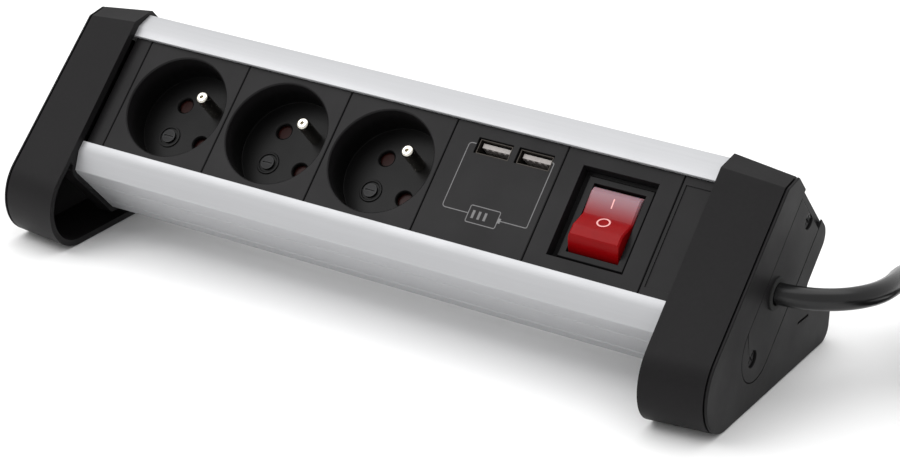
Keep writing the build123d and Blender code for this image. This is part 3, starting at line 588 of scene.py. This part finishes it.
# %% Charger print
PORT_U, LINE_LOW = 15.4, -10.45
LINE_LEFT, LINE_RIGHT = -14.6, 19.5
LINE_W, BAR_W = 0.38, 1.1
BATTERY_LEFT, BATTERY_RIGHT, BATTERY_TOP, BATTERY_FOOT = -3.9, 8.0, -7.2, -13.7
charger = face_frame(USB_X)
left_line = soft_corners(
    [(-11.9, PORT_U), (LINE_LEFT, PORT_U), (LINE_LEFT, LINE_LOW), (BATTERY_LEFT, LINE_LOW)], 1.4)
right_line = soft_corners(
    [(9.0, LINE_LOW), (LINE_RIGHT, LINE_LOW), (LINE_RIGHT, PORT_U), (18.7, PORT_U)], 0.7)
battery = soft_corners(
    [(1.4, BATTERY_TOP), (BATTERY_LEFT, BATTERY_TOP), (BATTERY_LEFT, BATTERY_FOOT),
     (BATTERY_RIGHT, BATTERY_FOOT), (BATTERY_RIGHT, BATTERY_TOP), (1.4, BATTERY_TOP)], 0.7)
bars = [[(x, -8.9), (x, -12.0)] for x in (-1.9, 0.5, 2.9)]
tip = [[(8.6, -9.5), (8.6, -11.4)]]
printed_line("charger_print", [left_line, right_line, battery], LINE_W, PRINT_H, charger, "strip", PRINT)
printed_line("battery_print", bars + tip, BAR_W, PRINT_H, charger, "strip", PRINT)
print("charger marks:", len(bars), "bars in the battery")

# %% Ring and bar on the rocker
RING_AT, RING_R, RING_STEPS, RING_W = -2.8, 2.2, 48, 0.65
BAR_LOW, BAR_HIGH, ON_BAR_W = 3.7, 7.3, 0.55
rocker_frame = (face_frame(SWITCH_X) @ Matrix.Translation((0, 0, PIVOT_W))
                @ Matrix.Rotation(math.radians(-ROCKER_HALF_TURN), 4, "X")
                @ Matrix.Translation((0, 0, V_DEPTH)))
off_half = rocker_frame @ Matrix.Rotation(math.radians(-V_SLOPE), 4, "X")
on_half = rocker_frame @ Matrix.Rotation(math.radians(V_SLOPE), 4, "X")
around = [2 * math.pi * i / RING_STEPS for i in range(RING_STEPS)]
ring = [(RING_R * math.cos(a), RING_AT + RING_R * math.sin(a)) for a in around]
printed_line("off_ring", [ring], RING_W, PRINT_H, off_half, "rocker_group", MARK, closed=True)
bar = [(0.0, BAR_LOW), (0.0, BAR_HIGH)]
printed_line("on_bar", [bar], ON_BAR_W, PRINT_H, on_half, "rocker_group", MARK)
print("rocker marks drawn at", [round(v, 4) for v in off_half.translation])

# %% [markdown]
# ## The cord takes its place
# The spline made above stands for the working model's tube, coil and tail. It takes the sheath's
# finish, those three working pieces are hidden, and it moves with the body of the working cord.

curve.materials.append(finishes["cord_sheath"])
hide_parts("mains_cord", "cord_coil", "cord_tail")
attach(cord, body_of_node["mains_cord"])

# %% [markdown]
# ## Floor and light
# A plain pale floor and soft studio light: a white surround fills the shadows, a large soft
# box above the strip gives the rails and the rocker their sheen, and a smaller one at the
# front left lights the faces that look at the user.

# %% Floor, surround and soft boxes
SURROUND_STRENGTH = 0.82
FLOOR_HALF = 3.0


def pale_floor():
    """Square plain floor under the strip, which is scenery and not a piece."""
    mesh = bpy.data.meshes.new("floor")
    bm = bmesh.new()
    bmesh.ops.create_grid(bm, x_segments=1, y_segments=1, size=FLOOR_HALF)
    bm.to_mesh(mesh)
    bm.free()
    mesh.materials.append(finish("pale floor", (0.95, 0.95, 0.95, 1.0), (0.6, 0.7), 0.0,
                                 (60.0, 0.0001, 0.02), tint=0.004))
    put_in_scene("floor", mesh)


def soft_box(name, place, aim, size, power):
    """Rectangular area light at a place, turned towards its aim."""
    light = bpy.data.lights.new(name, "AREA")
    light.shape = "RECTANGLE"
    light.size, light.size_y = size
    light.energy = power
    lamp = put_in_scene(name, light)
    lamp.location = place
    lamp.rotation_euler = (Vector(aim) - Vector(place)).to_track_quat("-Z", "Y").to_euler()


pale_floor()
world = bpy.data.worlds.new("white surround")
world.use_nodes = True
surround = world.node_tree.nodes["Background"]
surround.inputs["Color"].default_value = (1.0, 1.0, 1.0, 1.0)
surround.inputs["Strength"].default_value = SURROUND_STRENGTH
bpy.context.scene.world = world
soft_box("overhead box", (-0.15, 0.10, 1.25), (0.0, 0.0, 0.0), (1.9, 1.5), 10.5)
soft_box("front left box", (-0.62, -0.72, 1.05), (0.0, 0.0, 0.05), (0.75, 0.55), 5.4)
